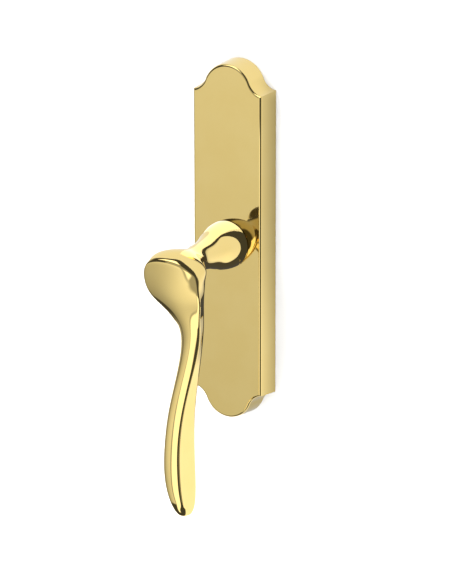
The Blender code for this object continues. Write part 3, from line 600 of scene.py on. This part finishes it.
def make_fixing_screw(label):
    """A pan-headed wood screw with a rolled helical thread, a gimlet point and a cross recess."""
    low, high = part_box(f"{label}_fixing_screw")
    centre_z = (low.z + high.z) / 2
    head, front, tip = (high.x - low.x) / 2, -low.y, high.y
    seat = front - SCREW_HEAD_HEIGHT
    thread_end = tip - 0.2 * MM
    rows = [[(head * share * math.cos(angle), drop * MM - front, head * share * math.sin(angle))
             for angle in circle(SCREW_SIDES)] for share, drop in SCREW_HEAD_PROFILE]
    rows += [thread_row(-seat + (thread_end + seat) * k / SCREW_STEPS, thread_end)
             for k in range(SCREW_STEPS + 1)]
    screw = link_mesh(f"{label}_wood_screw", tube(rows), "zinc_plated_steel")
    bars = []
    for x, z in ((RECESS_LONG * MM, RECESS_SHORT * MM), (RECESS_SHORT * MM, RECESS_LONG * MM)):
        ends = [(x * 0.45, z * 0.7, front - RECESS_DEPTH * MM), (x, z, front + 1 * MM)]
        loops = [[(i, -depth, k), (-i, -depth, k), (-i, -depth, -k), (i, -depth, -k)]
                 for i, k, depth in ends]
        bars.append(link_mesh(f"{label}_recess_{len(bars)}", tube(loops)))
    settle(screw, bars, 38.0)
    screw.data.transform(Matrix.Translation((0, 0, centre_z)))
    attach(screw, "case")
    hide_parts(f"{label}_fixing_screw")


def make_spring(label, side):
    """A compression spring with closed ends."""
    low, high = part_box(f"{label}_detent_spring")
    axis_y = (low.y + high.y) / 2
    near, far = (low.z, high.z) if side > 0 else (high.z, low.z)
    near, far = near + side * WIRE_RADIUS, far - side * WIRE_RADIUS
    coil = (high.x - low.x) / 2 - WIRE_RADIUS
    count = int(SPRING_TURNS * SPRING_STEPS_PER_TURN)
    up = Vector((0, 0, 1))
    rows = []
    for k in range(count + 1):
        share = k / count
        eased = share - math.sin(2 * math.pi * share) / (2 * math.pi) * END_CLOSING
        turn = 2 * math.pi * SPRING_TURNS * share
        outward = Vector((math.cos(turn), math.sin(turn), 0))
        centre = Vector((coil * math.cos(turn), axis_y + coil * math.sin(turn),
                         near + (far - near) * eased))
        rows.append([centre + WIRE_RADIUS * (outward * math.cos(angle) + up * math.sin(angle))
                     for angle in circle(WIRE_SIDES)])
    spring = link_mesh(f"{label}_detent_coil", tube(rows), "spring_steel")
    settle(spring)
    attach(spring, "case")
    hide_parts(f"{label}_detent_spring")
    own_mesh(spring)


# ---------------------------------------------------------------- the other pieces

def dress_nodes():
    """Give every node its finish, and ease its edges, which the CAD leaves sharp."""
    for name, node in NODES.items():
        slot_name = node.data.materials[0].name.split(".")[0]
        for material_slot in node.material_slots:
            material_slot.material = MATERIALS[slot_name]
        weld = node.modifiers.new("weld", "WELD")
        weld.merge_threshold = 1e-6
        ease = node.modifiers.new("eased_edges", "BEVEL")
        ease.width = 0.12 * MM
        ease.segments = 2
        ease.limit_method = "ANGLE"
        ease.angle_limit = math.radians(40)
        ease.use_clamp_overlap = True


# ---------------------------------------------------------------- studio

def aim_at_handle(obj):
    obj.rotation_euler = obj.location.to_track_quat("Z", "Y").to_euler()


def direction(azimuth, elevation):
    """Towards a point in front of the handle at azimuth 0, and to the viewer's right of it at 90."""
    a, e = math.radians(azimuth), math.radians(elevation)
    return Vector((math.sin(a) * math.cos(e), -math.cos(a) * math.cos(e), math.sin(e)))


def for_reflections_only(obj):
    obj.visible_camera = obj.visible_diffuse = obj.visible_shadow = False
    obj.visible_transmission = obj.visible_volume_scatter = False


def card(name, azimuths, elevations, glow, soft, distance=2.5, fall=1.0, round_point=(0, 0, 0)):
    """A panel on a dome round the handle, between two azimuths and two elevations in degrees.

    Its glow runs from the left value to the right one and is fall times as strong in its lower half.  It
    fades out over soft degrees at its edges.
    """
    columns, rows = 24, 16
    bm = bmesh.new()
    uv = bm.loops.layers.uv.new("panel")
    centre = Vector(round_point)
    grid = [[bm.verts.new(centre + distance * direction(
                 azimuths[0] + (azimuths[1] - azimuths[0]) * i / columns,
                 elevations[0] + (elevations[1] - elevations[0]) * j / rows))
             for i in range(columns + 1)] for j in range(rows + 1)]
    for j in range(rows):
        for i in range(columns):
            face = bm.faces.new((grid[j][i], grid[j][i + 1], grid[j + 1][i + 1], grid[j + 1][i]))
            corners = ((i, j), (i + 1, j), (i + 1, j + 1), (i, j + 1))
            for loop, (ci, cj) in zip(face.loops, corners):
                loop[uv].uv = (ci / columns, cj / rows)
    panel = link_mesh(name, bm)
    material, tree = new_material(name)
    place = add_node(tree, "ShaderNodeUVMap", uv_map="panel").outputs[0]
    split = add_node(tree, "ShaderNodeSeparateXYZ", {0: place})
    u, v = split.outputs[0], split.outputs[1]
    soft_u = soft[0] / (azimuths[1] - azimuths[0])
    soft_v = soft[1] / (elevations[1] - elevations[0])
    mask = remap(tree, u, 0, soft_u, 0, 1)
    for value, low, high in ((u, 1, 1 - soft_u), (v, 0, soft_v), (v, 1, 1 - soft_v)):
        mask = math_node(tree, "MULTIPLY", mask, remap(tree, value, low, high, 0, 1))
    strength = math_node(tree, "MULTIPLY", remap(tree, u, 0, 1, glow[0], glow[1], smooth=False),
                         remap(tree, v, 0.45, 1.0, fall, 1.0))
    light = add_node(tree, "ShaderNodeEmission", {"Strength": strength})
    clear = add_node(tree, "ShaderNodeBsdfTransparent")
    blend = add_node(tree, "ShaderNodeMixShader", {0: mask, 1: clear.outputs[0], 2: light.outputs[0]})
    add_node(tree, "ShaderNodeOutputMaterial", {"Surface": blend.outputs[0]})
    panel.data.materials.append(material)
    for_reflections_only(panel)


def dome(glow):
    """The dark studio round the panels, as the brass sees it."""
    bm = bmesh.new()
    bmesh.ops.create_uvsphere(bm, u_segments=48, v_segments=24, radius=4.0)
    shell = link_mesh("studio", bm)
    material, tree = new_material("studio")
    light = add_node(tree, "ShaderNodeEmission", {"Strength": glow})
    add_node(tree, "ShaderNodeOutputMaterial", {"Surface": light.outputs[0]})
    shell.data.materials.append(material)
    for_reflections_only(shell)


def plane(name, corner, across, up):
    bm = bmesh.new()
    corner, across, up = Vector(corner), Vector(across), Vector(up)
    corners = (corner, corner + across, corner + across + up, corner + up)
    bm.faces.new([bm.verts.new(place) for place in corners])
    return link_mesh(name, bm)


def one_sided(tree, shader):
    """Let whoever looks from behind see through."""
    behind = add_node(tree, "ShaderNodeNewGeometry").outputs["Backfacing"]
    clear = add_node(tree, "ShaderNodeBsdfTransparent")
    blend = add_node(tree, "ShaderNodeMixShader", {0: behind, 1: shader, 2: clear.outputs[0]})
    add_node(tree, "ShaderNodeOutputMaterial", {"Surface": blend.outputs[0]})


def make_backdrop():
    wall = plane("backdrop", (-0.03, 0.0004, -0.13), (0.08, 0, 0), (0, 0, 0.23))
    material, tree = new_material("backdrop")
    paper = noise(tree, object_coordinates(tree), 90.0, 4.0)
    tone = colour_mix(tree, paper, (0.69, 0.69, 0.69, 1), (0.71, 0.71, 0.71, 1))
    matt = add_node(tree, "ShaderNodeBsdfDiffuse", {"Color": tone})
    one_sided(tree, matt.outputs[0])
    wall.data.materials.append(material)
    wall.visible_glossy = False

    floor = plane("floor", (-3.0, -3.0, -0.32), (6.0, 0, 0), (0, 6.0, 0))
    material, tree = new_material("floor")
    grain = noise(tree, object_coordinates(tree), 40.0, 4.0)
    tone = colour_mix(tree, grain, (0.78, 0.78, 0.77, 1), (0.82, 0.82, 0.81, 1))
    principled(tree, Base_Color=tone, Roughness=0.8)
    floor.data.materials.append(material)
    floor.visible_glossy = False


def make_painted_shade_wall():
    """The white board as the brass sees it: a glowing sheet, bright, with a painted shadow of the handle
    right of the cover, and painted brighter towards the bottom.
    """
    left, right = -0.17, 0.22
    wall = plane("painted_shade_wall", (left, 0.0006, -0.30), (right - left, 0, 0), (0, 0, 0.62))
    material, tree = new_material("painted_shade_wall")
    place = add_node(tree, "ShaderNodeTexCoord").outputs["Object"]
    split = add_node(tree, "ShaderNodeSeparateXYZ", {0: place})
    x, z = split.outputs[0], split.outputs[2]
    edge = COVER_WIDTH / 2
    # Painted shadow: the glow drops to 0.42 behind and right of the cover, fading out 15 mm right of its
    # edge, just below its top and 22 mm below its bottom.
    shade = math_node(tree, "MULTIPLY", remap(tree, x, -edge, edge * 0.4, 0, 1),
                      remap(tree, x, edge, edge + 15 * MM, 1, 0, smooth=False))
    above = remap(tree, z, COVER_HIGH.z - 4 * MM, COVER_HIGH.z - 20 * MM, 0, 1)
    below = remap(tree, z, COVER_LOW.z - 22 * MM, COVER_LOW.z, 0, 1)
    shade = math_node(tree, "MULTIPLY", math_node(tree, "MULTIPLY", shade, above), below)
    # Painted light: the board glows brighter towards the bottom.
    upper = remap(tree, z, -60 * MM, 10 * MM, 1.2, 0.95)
    strength = math_node(tree, "MULTIPLY", upper, remap(tree, shade, 0, 1, 1.0, 0.42, smooth=False))
    light = add_node(tree, "ShaderNodeEmission", {"Strength": strength})
    one_sided(tree, light.outputs[0])
    wall.data.materials.append(material)
    for_reflections_only(wall)


# Sheets just in front of the cover's face, seen only in reflections: a glowing one as a painted
# reflection, dark ones as painted shade.
# Name, left, bottom, right and top in mm, and glow
FACE_CARDS = (
    ("face_glow", -17, 7, 9, 78, 1.4),
    ("face_shade", -17, -70, 17, -9, 0.07),
    ("face_edge", 7.5, -8.9, 17.5, 40, 0.06),
)


def make_face_cards():
    """What neck and head see in the cover's face, painted on sheets just in front of it: a painted
    reflection, bright above the neck, and painted shade, dark below and beside it.
    """
    depth = COVER_LOW.y - 0.7 * MM
    for name, x, z, end_x, end_z, glow in FACE_CARDS:
        sheet = plane(name, (x * MM, depth, z * MM), ((end_x - x) * MM, 0, 0), (0, 0, (end_z - z) * MM))
        material, tree = new_material(name)
        light = add_node(tree, "ShaderNodeEmission", {"Strength": glow})
        one_sided(tree, light.outputs[0])
        sheet.data.materials.append(material)
        for_reflections_only(sheet)


def area_light(name, place, size, watts):
    data = bpy.data.lights.new(name, "AREA")
    data.shape = "SQUARE"
    data.size = size
    data.energy = watts
    lamp = bpy.data.objects.new(name, data)
    bpy.context.scene.collection.objects.link(lamp)
    lamp.location = place
    aim_at_handle(lamp)
    lamp.visible_camera = lamp.visible_glossy = False
    return lamp


LEVER_MIDDLE = (0.0, -0.06, -0.075)


def make_studio():
    make_backdrop()
    make_painted_shade_wall()
    make_face_cards()
    dome(0.06)
    card("fill_sheet", (-78, 4), (-48, -2), (0.40, 1.15), (6.0, 4.0), fall=0.72)
    card("front_softbox", (2, 29), (-68, 7), (1.45, 1.45), (4.0, 3.0), distance=0.36,
         round_point=LEVER_MIDDLE)
    card("top_softbox", (-60, 20), (38, 86), (2.0, 2.0), (3.0, 3.0), distance=2.3)
    card("side_fill", (56, 104), (-42, 40), (0.16, 0.40), (12.0, 12.0))
    card("front_fill", (-26, 18), (-10, 34), (0.42, 0.42), (8.0, 6.0), distance=2.7)
    card("west_fill", (-108, -78), (-42, 40), (0.34, 0.34), (6.0, 12.0), distance=2.7)
    card("left_fill", (-150, -112), (-42, 40), (0.55, 0.30), (8.0, 12.0))
    card("rear_fill", (150, 210), (-30, 40), (0.8, 0.8), (10.0, 10.0))
    front_light = area_light("front_light", (0.0, -1.2, 0.1), 1.0, 15.5)
    front_light.data.use_shadow = False
    area_light("key_light", (-0.45, -0.95, 0.55), 0.8, 9.5)
    area_light("back_light", (0.3, 1.2, 0.6), 1.0, 12.0)
    ceiling = bpy.data.objects.new("ceiling_light", bpy.data.lights.new("ceiling_light", "SUN"))
    ceiling.data.energy = 4.3
    ceiling.data.angle = 1.0
    bpy.context.scene.collection.objects.link(ceiling)
    lit = bpy.data.collections.new("lit_by_ceiling")
    lit.objects.link(bpy.data.objects["floor"])
    ceiling.light_linking.receiver_collection = lit
    world = bpy.data.worlds.new("studio")
    bpy.context.scene.world = world
    world.use_nodes = True
    background = world.node_tree.nodes["Background"]
    background.inputs[0].default_value = (1.0, 1.0, 1.0, 1.0)
    background.inputs[1].default_value = 1.0
    world.cycles_visibility.glossy = False
    world.cycles_visibility.diffuse = False


CAMERA_DISTANCE = 1.4


def make_camera():
    azimuth, elevation, roll = (math.radians(a) for a in (30.274, 16.793, -0.128))
    back = Vector((math.sin(azimuth) * math.cos(elevation), -math.cos(azimuth) * math.cos(elevation),
                   math.sin(elevation)))
    right = Vector((math.cos(azimuth), math.sin(azimuth), 0.0))
    up = back.cross(right)
    right, up = (right * math.cos(roll) + up * math.sin(roll),
                 up * math.cos(roll) - right * math.sin(roll))
    target = right * -6.787 * MM + up * -25.511 * MM
    data = bpy.data.cameras.new("camera")
    data.sensor_fit = "AUTO"
    data.sensor_width = 36.0
    data.lens = 184.13
    data.clip_start, data.clip_end = 0.05, 20.0
    camera = bpy.data.objects.new("camera", data)
    bpy.context.scene.collection.objects.link(camera)
    turn = Matrix((right, up, back)).transposed().to_4x4()
    camera.matrix_world = Matrix.Translation(target + back * CAMERA_DISTANCE) @ turn
    bpy.context.scene.camera = camera


# ---------------------------------------------------------------- assembly

def build():
    dress_nodes()
    cover = make_cover()
    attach(cover, "case")
    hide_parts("cover")
    lever = make_lever()
    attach(lever, "handle")
    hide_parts("lever_handle")
    for label, side in (("upper", 1), ("lower", -1)):
        make_fixing_screw(label)
        make_spring(label, side)
    make_studio()
    make_camera()
    bpy.context.scene.view_settings.view_transform = "Standard"


build()
